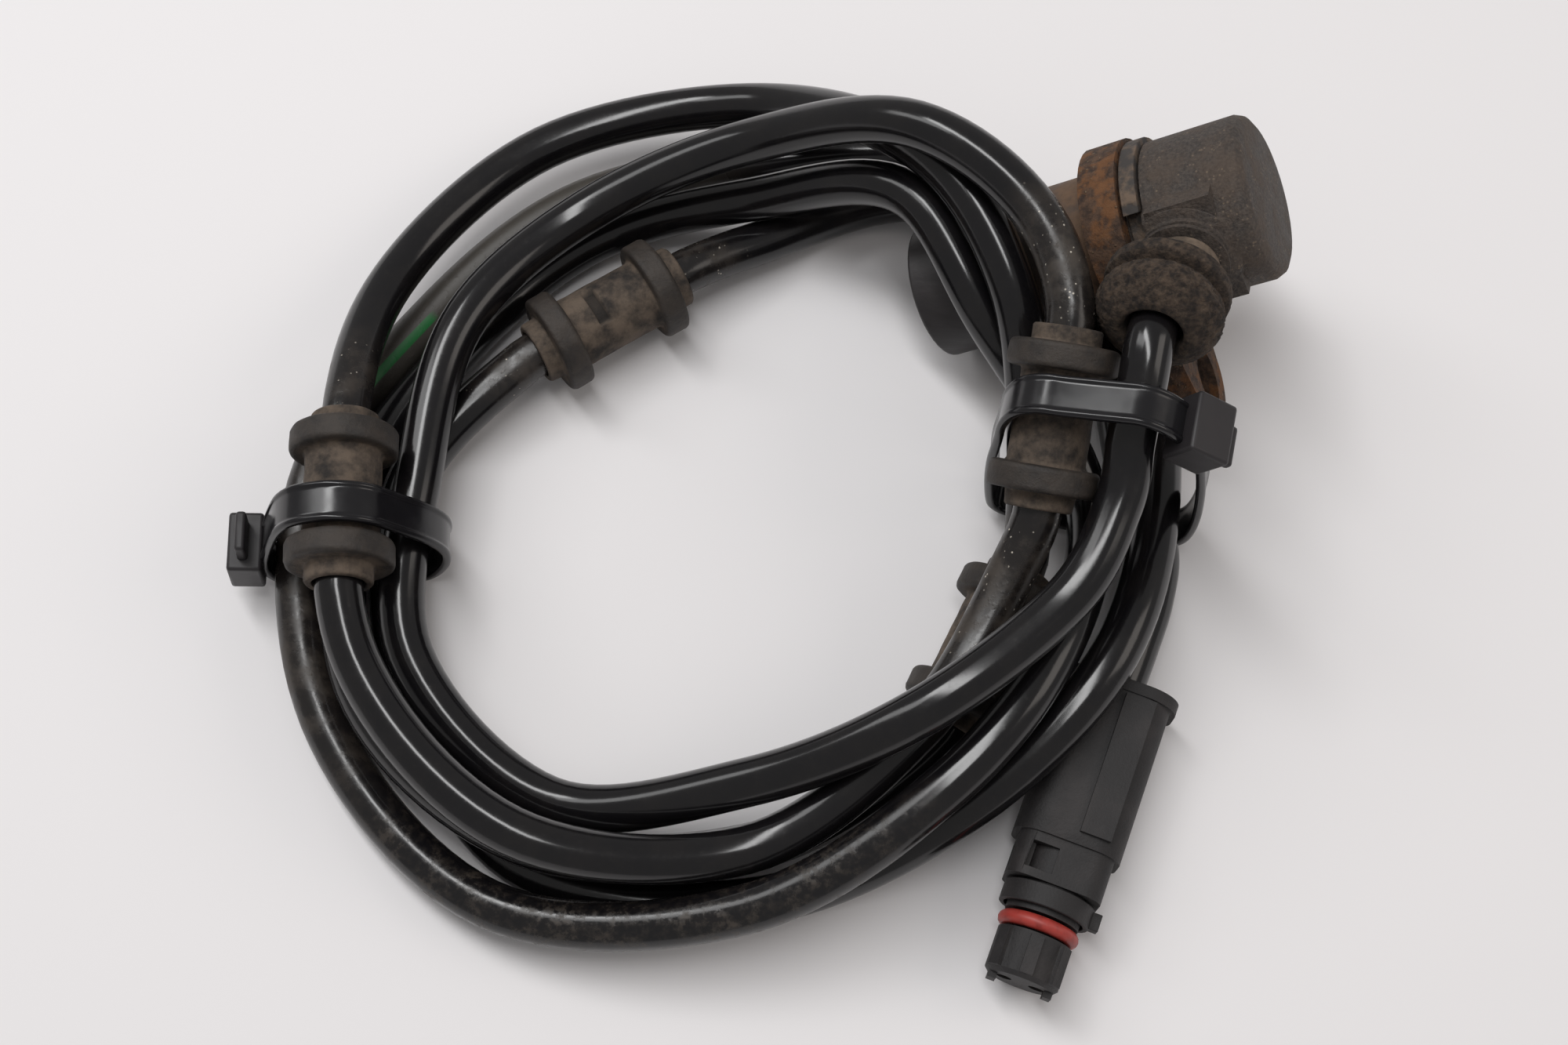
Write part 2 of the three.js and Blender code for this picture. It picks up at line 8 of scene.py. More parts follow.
import bmesh
import bpy
import numpy as np
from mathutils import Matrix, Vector


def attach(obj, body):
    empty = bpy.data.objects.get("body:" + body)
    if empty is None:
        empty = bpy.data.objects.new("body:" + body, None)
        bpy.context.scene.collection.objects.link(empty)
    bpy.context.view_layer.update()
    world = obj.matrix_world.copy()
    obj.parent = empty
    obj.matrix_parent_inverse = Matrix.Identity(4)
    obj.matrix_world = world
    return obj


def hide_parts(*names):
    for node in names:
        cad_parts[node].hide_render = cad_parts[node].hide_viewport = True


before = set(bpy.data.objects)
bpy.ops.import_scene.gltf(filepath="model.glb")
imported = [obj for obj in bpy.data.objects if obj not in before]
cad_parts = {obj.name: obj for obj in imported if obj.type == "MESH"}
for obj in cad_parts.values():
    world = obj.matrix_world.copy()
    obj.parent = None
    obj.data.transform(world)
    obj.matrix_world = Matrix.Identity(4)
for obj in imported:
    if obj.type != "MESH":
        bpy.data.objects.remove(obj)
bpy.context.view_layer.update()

# Camera. It stands where the photographer's did: 20 degrees from straight down over the middle of the
# photograph, 253 mm away. All measured places below count from that middle point on the table, in
# millimetres, and the offset takes them to the part's own origin under the sensor head.
PHOTO_OFFSET = np.array([-37.203, -24.010, -0.020])
MM_PER_METRE = 1000.0
CAMERA_TILT = math.radians(20.0)
CAMERA_DISTANCE = 253.0
CAMERA_LENS = 47.52
SENSOR_WIDTH = 36.0


def row(points):
    """Millimetres of the photograph's frame to metres of the part's: add the offset, divide by 1000."""
    return (np.asarray(points, float) + PHOTO_OFFSET) / MM_PER_METRE


scene = bpy.context.scene
camera_data = bpy.data.cameras.new("camera")
camera_data.lens = CAMERA_LENS
camera_data.sensor_width = SENSOR_WIDTH
camera_data.clip_start = 0.01
camera_data.clip_end = 10.0
camera = bpy.data.objects.new("camera", camera_data)
camera.location = row(
    (0.0, -CAMERA_DISTANCE * math.sin(CAMERA_TILT), CAMERA_DISTANCE * math.cos(CAMERA_TILT))
)
camera.rotation_euler = (CAMERA_TILT, 0.0, 0.0)
scene.collection.objects.link(camera)
scene.camera = camera
scene.view_settings.view_transform = "Standard"


# Table top. A smooth board, almost white, that lies a hair below the part's lowest point. It is only the
# ground under the part, and isn't one of its pieces.
TABLE_COLOUR = "#f1eff0"
TABLE_HALF = 1.2
TABLE_DROP = 0.0001


def linear(colour):
    """Hex colour to linear red, green, blue and 1: each channel through the sRGB curve."""
    channels = [int(colour[i : i + 2], 16) / 255.0 for i in (1, 3, 5)]
    return tuple(c / 12.92 if c <= 0.04045 else ((c + 0.055) / 1.055) ** 2.4 for c in channels) + (1.0,)


class Socket:
    """One value, colour or vector in a material, on which sums can be written as usual."""

    def __init__(self, finish, socket):
        self.finish = finish
        self.socket = socket

    def _math(self, operation, first, second):
        return self.finish.node("ShaderNodeMath", {"operation": operation}, {0: first, 1: second})

    def __add__(self, other):
        return self._math("ADD", self, other)

    __radd__ = __add__

    def __sub__(self, other):
        return self._math("SUBTRACT", self, other)

    def __rsub__(self, other):
        return self._math("SUBTRACT", other, self)

    def __mul__(self, other):
        return self._math("MULTIPLY", self, other)

    __rmul__ = __mul__

    def least(self, other):
        return self._math("MINIMUM", self, other)

    def step(self, low, high):
        """0 below low, 1 above high, and a smooth slope between them."""
        settings = {"interpolation_type": "SMOOTHSTEP"}
        values = {0: self, 1: low, 2: high, 3: 0.0, 4: 1.0}
        return self.finish.node("ShaderNodeMapRange", settings, values)


class Finish:
    """One material: its nodes are made by node(), and surface() sets what the light sees."""

    def __init__(self, name):
        self.material = bpy.data.materials.new(name)
        self.material.use_nodes = True
        self.tree = self.material.node_tree
        self.shader = self.tree.nodes["Principled BSDF"]

    def node(self, kind, settings=None, values=None, out=0):
        made = self.tree.nodes.new(kind)
        for key, value in (settings or {}).items():
            setattr(made, key, value)
        for key, value in (values or {}).items():
            self.put(made.inputs[key], value)
        return Socket(self, made.outputs[out])

    def put(self, target, value):
        if isinstance(value, Socket):
            self.tree.links.new(value.socket, target)
        else:
            target.default_value = value

    def place(self, stretch=(1.0, 1.0, 1.0), turn=(0.0, 0.0, 0.0)):
        """The point on the piece, stretched and turned."""
        point = self.node("ShaderNodeTexCoord", out="Object")
        values = {"Vector": point, "Rotation": turn, "Scale": stretch}
        return self.node("ShaderNodeMapping", None, values)

    def noise(self, scale, detail=3.0, rough=0.55, at=None):
        """Cloudy pattern from 0 to 1 with this many cells in a metre."""
        values = {"Vector": at or self.place(), "Scale": scale, "Detail": detail, "Roughness": rough}
        return self.node("ShaderNodeTexNoise", None, values)

    def specks(self, scale, size):
        """1 in small round grains, 0 between them: near the centres of scattered cells."""
        values = {"Vector": self.place(), "Scale": scale}
        return 1.0 - self.node("ShaderNodeTexVoronoi", None, values).step(size * 0.6, size)

    def attribute(self, name):
        return self.node("ShaderNodeAttribute", {"attribute_name": name}, out="Fac")

    def mix(self, amount, first, second):
        """From the first colour to the second as the amount goes from 0 to 1."""
        first = linear(first) if isinstance(first, str) else first
        second = linear(second) if isinstance(second, str) else second
        settings = {"data_type": "RGBA"}
        return self.node("ShaderNodeMix", settings, {0: amount, 6: first, 7: second}, out=2)

    def bump(self, height, depth):
        """Normal of a surface raised by the height, times the depth in metres."""
        values = {"Height": height, "Distance": depth, "Strength": 1.0}
        return self.node("ShaderNodeBump", None, values)

    def surface(self, colour, rough, metal=0.0, normal=None, specular=0.5):
        """What the light sees: colour, roughness, metal share, raised pattern and mirror share."""
        colour = linear(colour) if isinstance(colour, str) else colour
        self.put(self.shader.inputs["Base Color"], colour)
        self.put(self.shader.inputs["Roughness"], rough)
        self.put(self.shader.inputs["Metallic"], metal)
        self.shader.inputs["Specular IOR Level"].default_value = specular
        if normal is not None:
            self.put(self.shader.inputs["Normal"], normal)


def solid(name, vertices, faces, material):
    """Mesh object at the origin from an array of points and one of faces, shaded smooth."""
    mesh = bpy.data.meshes.new(name)
    mesh.from_pydata(vertices, [], faces)
    mesh.shade_smooth()
    mesh.materials.append(material)
    piece = bpy.data.objects.new(name, mesh)
    scene.collection.objects.link(piece)
    return piece


table_finish = Finish("table_board")
table_finish.surface(TABLE_COLOUR, 0.9, specular=0.2)
corner_signs = [(-1, -1), (1, -1), (1, 1), (-1, 1)]
corners = [(x * TABLE_HALF, y * TABLE_HALF, -TABLE_DROP) for x, y in corner_signs]
table_top = solid("table_top", corners, [(0, 1, 2, 3)], table_finish.material)


# Light. A soft window of light over the far left, a narrow strip nearly overhead, a weak light from the
# right, and an even pale room. Each strand of the cable shows the strip as a long crisp streak.
KEY_POWER = 0.7
STRIP_POWER = 2.1
FILL_POWER = 0.5
ROOM_COLOUR = "#dcdad9"
ROOM_STRENGTH = 0.44


def softbox(name, place, aim, size, power, colour="#ffffff"):
    """Flat lamp of this width and height in metres and power in watts, turned to face its aim."""
    lamp_data = bpy.data.lights.new(name, "AREA")
    lamp_data.shape = "RECTANGLE"
    lamp_data.size = size[0]
    lamp_data.size_y = size[1]
    lamp_data.energy = power
    lamp_data.color = linear(colour)[:3]
    lamp = bpy.data.objects.new(name, lamp_data)
    lamp.location = place
    lamp.rotation_euler = (Vector(aim) - Vector(place)).to_track_quat("-Z", "Y").to_euler()
    scene.collection.objects.link(lamp)


softbox("window_light", (-0.42, 0.22, 0.50), (-0.03, -0.02, 0.0), (0.15, 0.42), KEY_POWER)
softbox("strip_light", (-0.14, 0.10, 0.62), (-0.04, -0.03, 0.0), (0.10, 0.60), STRIP_POWER)
softbox("side_light", (0.46, -0.05, 0.42), (-0.03, -0.02, 0.0), (0.30, 0.30), FILL_POWER, "#fff6ee")
world = bpy.data.worlds.new("room")
world.use_nodes = True
background = world.node_tree.nodes["Background"]
background.inputs["Color"].default_value = linear(ROOM_COLOUR)
background.inputs["Strength"].default_value = ROOM_STRENGTH
scene.world = world


# Sensing barrel, moulded in black plastic. It is rubbed along its length, worn smooth at the tip, and
# stained brown by rust where it meets the collar.
HEAD_TIP = np.array([19.0, 27.93, 6.92])
HEAD_AXIS = np.array([0.8564, 0.0374, 0.515])
SHARP_EDGE = math.radians(35)
BEVEL_EDGE = math.radians(32)
FLAT_EDGE = math.radians(1)
JOIN_DISTANCE = 2e-6
SMALL_BEVEL = 0.00012

tip_place = row(HEAD_TIP)
head_axis = HEAD_AXIS / np.linalg.norm(HEAD_AXIS)


def soften(piece, width, segments, angle):
    """Rounds the edges that are sharper than the angle, with this width in metres."""
    bevel = piece.modifiers.new("soft_edges", "BEVEL")
    bevel.width = width
    bevel.segments = segments
    bevel.limit_method = "ANGLE"
    bevel.angle_limit = angle


def dressed(node, finish, bevel=SMALL_BEVEL):
    """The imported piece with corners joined, edges softened and this finish, in place of the bare one."""
    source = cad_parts[node]
    mesh = bpy.data.meshes.new(node + "_surface")
    work = bmesh.new()
    work.from_mesh(source.data)
    work.transform(source.matrix_world)
    bmesh.ops.remove_doubles(work, verts=work.verts, dist=JOIN_DISTANCE)
    bmesh.ops.dissolve_limit(
        work, angle_limit=FLAT_EDGE, verts=work.verts, edges=work.edges, delimit=set()
    )
    work.to_mesh(mesh)
    work.free()
    mesh.shade_smooth()
    mesh.set_sharp_from_angle(angle=SHARP_EDGE)
    mesh.materials.clear()
    mesh.materials.append(finish.material)
    piece = bpy.data.objects.new(node + "_dressed", mesh)
    scene.collection.objects.link(piece)
    if bevel:
        soften(piece, bevel, 2, BEVEL_EDGE)
    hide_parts(node)
    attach(piece, "root")
    return piece


def values_on(piece, name, function):
    """Stores a number for every corner point of the mesh, worked out by the function from its place."""
    mesh = piece.data
    points = np.zeros(len(mesh.vertices) * 3)
    mesh.vertices.foreach_get("co", points)
    layer = mesh.attributes.new(name, "FLOAT", "POINT")
    layer.data.foreach_set("value", np.asarray(function(points.reshape(-1, 3)), np.float32))


def along_head(points):
    """Distance from the sensing tip along the head's axis, in millimetres."""
    return (points - tip_place) @ head_axis * MM_PER_METRE


def grain_turn(axis):
    """Turn that lays a pattern's X along this axis, for a grain that runs with the piece."""
    return tuple(Vector(axis).to_track_quat("X", "Z").inverted().to_euler())


barrel_finish = Finish("rubbed_barrel")
grain_place = barrel_finish.place((0.06, 1.0, 1.0), grain_turn(head_axis))
brushed = barrel_finish.noise(900.0, 4.0, at=grain_place)
stained = barrel_finish.attribute("along").step(12.0, 24.0)
patches = barrel_finish.noise(260.0, 5.0).step(0.35, 0.7)
stain = (stained * 1.25 * (0.45 + patches)).least(1.0)
black = barrel_finish.mix(brushed, "#1d1a1b", "#343031")
rust_film = barrel_finish.mix(barrel_finish.noise(900.0), "#4a3a2e", "#7a5f49")
barrel_finish.surface(
    barrel_finish.mix(stain, black, rust_film),
    0.42 + 0.3 * stain + 0.15 * brushed,
    normal=barrel_finish.bump(brushed, 0.00006),
)
barrel = dressed("sensor_barrel", barrel_finish)
values_on(barrel, "along", along_head)


# Collar and bolt ear, one steel piece with rust all over: dark brown scale, orange bloom, and tan grit
# in patches. The ear reaches down to the table under the boot.
collar_finish = Finish("rusted_steel")
scale_marks = collar_finish.noise(800.0, 6.0, 0.68)
bloom = collar_finish.noise(380.0, 5.0, 0.6).step(0.48, 0.62)
grit = collar_finish.specks(1300.0, 0.26) * collar_finish.noise(300.0).step(0.5, 0.62)
dark_scale = collar_finish.mix(scale_marks.step(0.35, 0.65), "#33261f", "#5e4737")
rust_colour = collar_finish.mix(bloom * 0.55, dark_scale, "#84562f")
collar_finish.surface(
    collar_finish.mix(grit * 0.5, rust_colour, "#8f7a60"),
    0.72 + 0.2 * scale_marks,
    0.15,
    collar_finish.bump(scale_marks + 0.6 * grit, 0.00030),
)
dressed("mounting_bracket", collar_finish, 0.0003)


# Locating band behind the collar, thin dark plastic with one notch, dusted brown by the rust next to it.
band_finish = Finish("dusty_band")
band_dust = band_finish.noise(500.0, 5.0).step(0.42, 0.68)
band_finish.surface(
    band_finish.mix(band_dust, "#3c3836", "#6b5a4b"), 0.75, normal=band_finish.bump(band_dust, 0.0001)
)
dressed("locating_band", band_finish)


# Moulded body with its round cap and the outlet for the cable, in matt dark grey plastic that has gone
# pale and speckled with brown road dust.
body_finish = Finish("speckled_body")
fine = body_finish.noise(2600.0, 4.0, 0.7)
cloud = body_finish.noise(230.0, 6.0, 0.65).step(0.38, 0.66)
speck = body_finish.specks(1800.0, 0.3) * body_finish.noise(420.0).step(0.48, 0.6)
grey = body_finish.mix(fine.step(0.3, 0.7), "#2a2523", "#4e4640")
dusty = body_finish.mix(cloud * 0.55, grey, "#594c42")
body_finish.surface(
    body_finish.mix(speck * 0.5, dusty, "#7d6d5c"),
    0.66 + 0.2 * cloud,
    normal=body_finish.bump(fine + cloud, 0.00012),
)
dressed("sensor_body", body_finish, 0.0004)
gland_finish = Finish("brown_sleeve")
gland_cloud = gland_finish.noise(600.0, 5.0)
gland_finish.surface(gland_finish.mix(gland_cloud.step(0.3, 0.7), "#4c4239", "#7a6a5b"), 0.85)
dressed("cable_gland", gland_finish)


# Pieces out of sight. In the head: iron pin, bobbin, copper winding, magnet and two brass strips. In the
# plug: two brass pins and the rubber seal behind them. Each has a plain colour, metal share and roughness.
INNER_COLOURS = {
    "pole_pin": ("#8a8a88", 0.9, 0.4),
    "magnet": ("#70706e", 0.9, 0.35),
    "coil_winding": ("#a8622e", 1.0, 0.35),
    "coil_bobbin": ("#3b3734", 0.0, 0.6),
    "terminal_1": ("#b08d46", 1.0, 0.35),
    "terminal_2": ("#b08d46", 1.0, 0.35),
    "contact_pin_1": ("#b08d46", 1.0, 0.3),
    "contact_pin_2": ("#b08d46", 1.0, 0.3),
    "connector_rear_seal": ("#2a2826", 0.0, 0.8),
}
for inner_name, (inner_colour, inner_metal, inner_rough) in INNER_COLOURS.items():
    inner_finish = Finish(inner_name + "_finish")
    inner_finish.surface(inner_colour, inner_rough, inner_metal)
    dressed(inner_name, inner_finish, 0.0)


# Rubber boot where the cable leaves the head, with a flange and a groove. The rubber has perished: its
# skin is cracked into crumbs and full of brown dust.
BOOT_START = np.array([43.4, 18.6, 30.2])
BOOT_AXIS = np.array([-0.34, -0.9, 0.26])
BOOT_SIDES = 220
BOOT_LINE_POINTS = 150
BOOT_SOUND_RADIUS = 4.6
BOOT_ROUGH_FADE = 1.2
BOOT_FLANGE_END = 4.3
BOOT_PROFILE = np.array([
    [5.6, 1.5], [6.7, 1.5], [7.1, 1.8], [7.2, 2.5], [7.1, 3.3], [6.6, 3.6], [5.8, 3.8], [5.7, 4.2],
    [6.5, 4.5], [7.05, 5.2], [7.2, 6.4], [6.95, 7.3], [6.4, 8.2], [5.5, 9.0], [4.5, 9.5], [3.8, 9.6],
    [3.4, 9.3], [3.2, 8.2], [3.1, 4.8], [5.6, 3.4],
])


def basis(axis):
    """Three unit directions, the last along the axis and the first as near to up as can be."""
    third = np.asarray(axis, float) / np.linalg.norm(axis)
    first = np.array([0.0, 0.0, 1.0]) - third * third[2]
    first /= np.linalg.norm(first)
    return first, np.cross(third, first), third


WAVE_COUNT = 12
WAVE_PEAK = 5.0


def waves(points, cell, seed):
    """Smooth random height, mostly from -1 to 1: a sum of sine waves in different directions."""
    chance = np.random.default_rng(seed)
    total = np.zeros(points.shape[:-1])
    for _ in range(WAVE_COUNT):
        direction = chance.normal(size=3)
        direction *= 2 * math.pi / (cell * np.linalg.norm(direction)) * chance.uniform(0.7, 1.4)
        total += np.sin(points @ direction + chance.uniform(0, 2 * math.pi))
    return total / WAVE_PEAK


def along_profile(profile, count):
    """Evenly spaced points on the closed line through the profile's points."""
    closed_line = np.vstack([profile, profile[:1]])
    reach = np.r_[0.0, np.cumsum(np.linalg.norm(np.diff(closed_line, axis=0), axis=1))]
    wanted = np.linspace(0.0, reach[-1], count, endpoint=False)
    return np.stack([np.interp(wanted, reach, closed_line[:, k]) for k in (0, 1)], axis=1)


def round_angles(count):
    """Evenly spaced angles once round, in radians."""
    return np.linspace(0.0, 2 * math.pi, count, endpoint=False)


def ring_faces(rows, columns, closed_rows):
    """Quads of a grid that closes on itself across its columns, and if asked along its rows."""
    last = rows if closed_rows else rows - 1
    i, j = np.meshgrid(np.arange(last), np.arange(columns), indexing="ij")
    next_i = (i + 1) % rows
    next_j = (j + 1) % columns
    corners = [(i, j), (next_i, j), (next_i, next_j), (i, next_j)]
    return np.stack([row_number * columns + column for row_number, column in corners], -1).reshape(-1, 4)


def outwards(piece):
    """All faces turned to point out of the closed mesh."""
    work = bmesh.new()
    work.from_mesh(piece.data)
    bmesh.ops.recalc_face_normals(work, faces=work.faces)
    work.to_mesh(piece.data)
    work.free()


def turned(name, profile, start, axis, sides, count, finish, roughen):
    """Profile carried round the axis: each point at its radius and station, pushed out by roughen."""
    first, second, third = basis(axis)
    line = along_profile(profile, count)
    angle = round_angles(sides)
    radius = line[:, 0][:, None]
    around = np.cos(angle)[None, :, None] * first + np.sin(angle)[None, :, None] * second
    points = start + radius[..., None] * around + line[:, 1][:, None, None] * third
    points = points + roughen(points, line)[..., None] * around
    piece = solid(name, row(points.reshape(-1, 3)), ring_faces(count, sides, True), finish.material)
    outwards(piece)
    return piece


def crumble(points, line):
    """Perished rubber: a small height less the size of a coarse and of a fine wave pattern.

    That leaves sharp ridges where a pattern passes nought and round hollows between them. They fade out
    towards the axis, and are lower on the flange.
    """
    lumps = 0.10 - 0.22 * np.abs(waves(points, 1.1, 3)) - 0.12 * np.abs(waves(points, 0.5, 5))
    outside = np.clip((line[:, 0] - BOOT_SOUND_RADIUS) / BOOT_ROUGH_FADE, 0.0, 1.0)
    rough_share = np.where(line[:, 1] < BOOT_FLANGE_END, 0.3, 1.0)
    return lumps * (outside * rough_share)[:, None]


boot_finish = Finish("perished_rubber")
crumbs = boot_finish.noise(1500.0, 6.0, 0.7)
cracks = boot_finish.noise(700.0, 4.0)
boot_dust = (crumbs * 0.6 + cracks * 0.5).step(0.42, 0.72)
boot_finish.surface(
    boot_finish.mix(boot_dust, "#1f1916", "#54463a"),
    0.93,
    normal=boot_finish.bump(crumbs + cracks, 0.0003),
)
boot = turned(
    "cable_boot_surface",
    BOOT_PROFILE,
    BOOT_START,
    BOOT_AXIS,
    BOOT_SIDES,
    BOOT_LINE_POINTS,
    boot_finish,
    crumble,
)
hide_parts("cable_boot")
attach(boot, "root")


# Cable. One black jacketed cable from the boot, wound a little over five turns and ending in the plug.
# Its route is listed: some points after the boot, then the distance from the coil's middle and the
# height at every 30 degrees, then the points before the plug. It lies straight inside the grommets.
CABLE_DIAMETER = 5.5
COIL_CENTRE = (-4.3, 2.7)
STATION_ANGLE = 30.0
CABLE_LEAD = [
    (44.6, 19.5, 29.8), (43.5, 17.0, 31.0), (41.5, 13.7, 31.6), (39.9, 9.3, 32.8), (38.9, 4.4, 31.4),
    (37.9, -0.8, 28.2), (36.6, -7.2, 25.4),
]
COIL_TURNS = [
    (40.4, 23.2), (37.4, 21.3), (38, 12.8), (44.5, 6.2), (44.6, 9.2),
    (38.6, 10.6), (39.4, 11.1), (39.6, 11), (39.8, 18), (38.9, 32.2), (39.2, 32.2),
    (35.8, 27), (33.5, 17.8), (37.6, 14.8), (45, 10.6), (50.6, 14.9), (50, 15.9),
    (46.4, 17.8), (50.5, 9.5), (52.4, 7), (49.8, 10), (39.9, 26), (34.8, 25.4),
    (33, 13.4), (35.4, 6.4), (38.8, 6.3), (43.6, 4.4), (50.4, 9.2), (51.6, 6.9),
    (46.9, 4.8), (40.4, 3.4), (39.4, 3.3), (37.2, 8.4), (36.1, 21.6), (32.1, 19.2),
    (40.3, 5.1), (41.7, 15.8), (44.8, 15.9), (51.5, 10), (57.8, 5.2), (56.8, 3.8),
    (52.8, 5), (46.3, 3), (45.3, 3), (45.2, 3), (52.7, 3), (54, 3.6),
    (48.4, 10.4), (47.7, 14.6), (47.2, 9.8), (49.6, 3.4), (51.9, 3.1), (46.4, 3.6),
    (40.9, 4.6), (31.6, 6.8), (28, 7.5), (32.6, 4.8), (46, 3), (48.3, 3),
    (46.3, 4.6),
]
CABLE_TAIL = [
    (44.2, -5.0, 5.0), (43.2, -11.5, 5.2), (40.9, -17.8, 5.4), (38.2, -24.3, 5.4), (37.0, -27.5, 5.4),
]
GROMMET_SPANS = [(343.6, 378.4), (520.5, 545.5), (738.4, 774.0), (1651.0, 1694.0)]
CABLE_SIDES = 28
CABLE_STEP = 2.5

coil_angles = np.radians(-(np.arange(1, len(COIL_TURNS) + 1) * STATION_ANGLE))
coil_radii, coil_heights = np.array(COIL_TURNS).T
coil_x = COIL_CENTRE[0] + coil_radii * np.cos(coil_angles)
coil_y = COIL_CENTRE[1] + coil_radii * np.sin(coil_angles)
coil_points = np.stack([coil_x, coil_y, coil_heights], axis=1)
knots = np.vstack([CABLE_LEAD, coil_points, CABLE_TAIL])
knot_degrees = (np.arange(len(knots)) + 1 - len(CABLE_LEAD)) * STATION_ANGLE


def smooth_points(degree):
    """Points at these degrees travelled on the line through the knots, a cubic between each two."""
    place = (np.asarray(degree, float) - knot_degrees[0]) / STATION_ANGLE
    i = np.clip(np.floor(place + 1e-9).astype(int), 0, len(knots) - 2)
    t = (place - i)[:, None]
    padded_knots = np.vstack([2 * knots[0] - knots[1], knots, 2 * knots[-1] - knots[-2]])
    a, b, c, d = (padded_knots[i + k] for k in range(4))
    bend = (2 * a - 5 * b + 4 * c - d) * t**2
    twist = (3 * b - a - 3 * c + d) * t**3
    return 0.5 * (2 * b + (c - a) * t + bend + twist)


cable_degrees = np.arange(knot_degrees[0], knot_degrees[-1] + 0.1, CABLE_STEP)
cable_line = smooth_points(cable_degrees)
for span_start, span_end in GROMMET_SPANS:
    ends = smooth_points([span_start, span_end])
    share = np.clip((cable_degrees - span_start) / (span_end - span_start), 0.0, 1.0)
    inside = (cable_degrees > span_start) & (cable_degrees < span_end)
    cable_line[inside] = (ends[0] + (ends[1] - ends[0]) * share[:, None])[inside]


def swept(name, line, radius, sides, finish):
    """Round tube along a line: a ring on each point, turned as little as can be from the one before."""
    tangent = np.gradient(line, axis=0)
    tangent /= np.linalg.norm(tangent, axis=1)[:, None]
    normal = np.zeros_like(line)
    normal[0] = basis(tangent[0])[0]
    for k in range(1, len(line)):
        carried = normal[k - 1] - tangent[k] * (normal[k - 1] @ tangent[k])
        normal[k] = carried / np.linalg.norm(carried)
    side = np.cross(tangent, normal)
    angle = round_angles(sides)
    cosine = np.cos(angle)[None, :, None]
    sine = np.sin(angle)[None, :, None]
    offset = cosine * normal[:, None] + sine * side[:, None]
    points = (line[:, None] + radius * offset).reshape(-1, 3)
    faces = ring_faces(len(line), sides, False).tolist()
    last = (len(line) - 1) * sides
    faces.append(list(range(sides))[::-1])
    faces.append(list(range(last, last + sides)))
    piece = solid(name, row(points), faces, finish.material)
    outwards(piece)
    return piece


cable_finish = Finish("cable_jacket")
travelled = cable_finish.attribute("travelled")


def over(start, end, soft=8.0):
    """1 on the cable between these degrees travelled, fading at both ends."""
    return travelled.step(start - soft, start + soft) * (1.0 - travelled.step(end - soft, end + soft))


dust_cloud = cable_finish.noise(260.0, 5.0, 0.62).step(0.38, 0.7)
scuff = cable_finish.noise(1600.0, 4.0, 0.6).step(0.52, 0.78)
mica = cable_finish.specks(1500.0, 0.22) * cable_finish.noise(500.0).step(0.54, 0.62)
near_grommet = over(326, 344) + over(546, 553) + over(728, 739)
near_grommet += over(1644, 1652) + over(1694, 1702)
below_grommet = over(378, 412)
dull_strand = over(1222, 1262, 12.0)
olive_strand = over(1272, 1345, 10.0)
scraped = over(1150, 1216, 12.0) * cable_finish.noise(900.0, 5.0, 0.65).step(0.42, 0.66)
wrinkled = over(-190, -140, 10.0)
dust = (
    near_grommet * (0.15 + 0.6 * dust_cloud)
    + below_grommet * (0.15 + 0.6 * dust_cloud)
    + 0.35 * wrinkled
    + (0.5 * dull_strand + 0.6 * scraped) * (0.25 + dust_cloud)
    + 0.55 * olive_strand
    + 0.05 * dust_cloud
).least(1.0)
stripe_run = over(1274, 1290, 1.0)
stripe_side = cable_finish.attribute("inward")
stripe = stripe_run * stripe_side.step(0.20, 0.26) * (1.0 - stripe_side.step(0.55, 0.61))
jacket = cable_finish.mix(scuff * 0.12, "#121113", "#2c2a28")
grime = cable_finish.mix(olive_strand.least(1.0), "#51483f", "#68625a")
dusted = cable_finish.mix(dust * 0.7, jacket, grime)
striped = cable_finish.mix(stripe.least(1.0), dusted, "#1c6a34")
cable_finish.surface(
    cable_finish.mix((mica * 1.4 * (near_grommet + below_grommet)).least(1.0), striped, "#b9b2a6"),
    (0.15 + 0.05 * scuff + 0.5 * dust).least(1.0),
    normal=cable_finish.bump(scuff * dust, 0.00004),
)
cable = swept("sensor_cable_surface", cable_line, CABLE_DIAMETER / 2, CABLE_SIDES, cable_finish)
cable_path = row(cable_line)
line_points = np.repeat(cable_path, CABLE_SIDES, axis=0)
coil_middle = row((*COIL_CENTRE, 0.0))


def inward_share(points):
    """How far each point of the jacket leans from the cable's middle to the coil's: 1 is fully inward."""
    to_middle = (coil_middle - line_points) * (1.0, 1.0, 0.0)
    to_middle /= np.linalg.norm(to_middle, axis=1)[:, None]
    cable_radius = CABLE_DIAMETER / 2 / MM_PER_METRE
    return ((points - line_points) * to_middle).sum(axis=1) / cable_radius


values_on(cable, "travelled", lambda points: np.repeat(cable_degrees, CABLE_SIDES))
values_on(cable, "inward", inward_share)
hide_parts("sensor_cable")
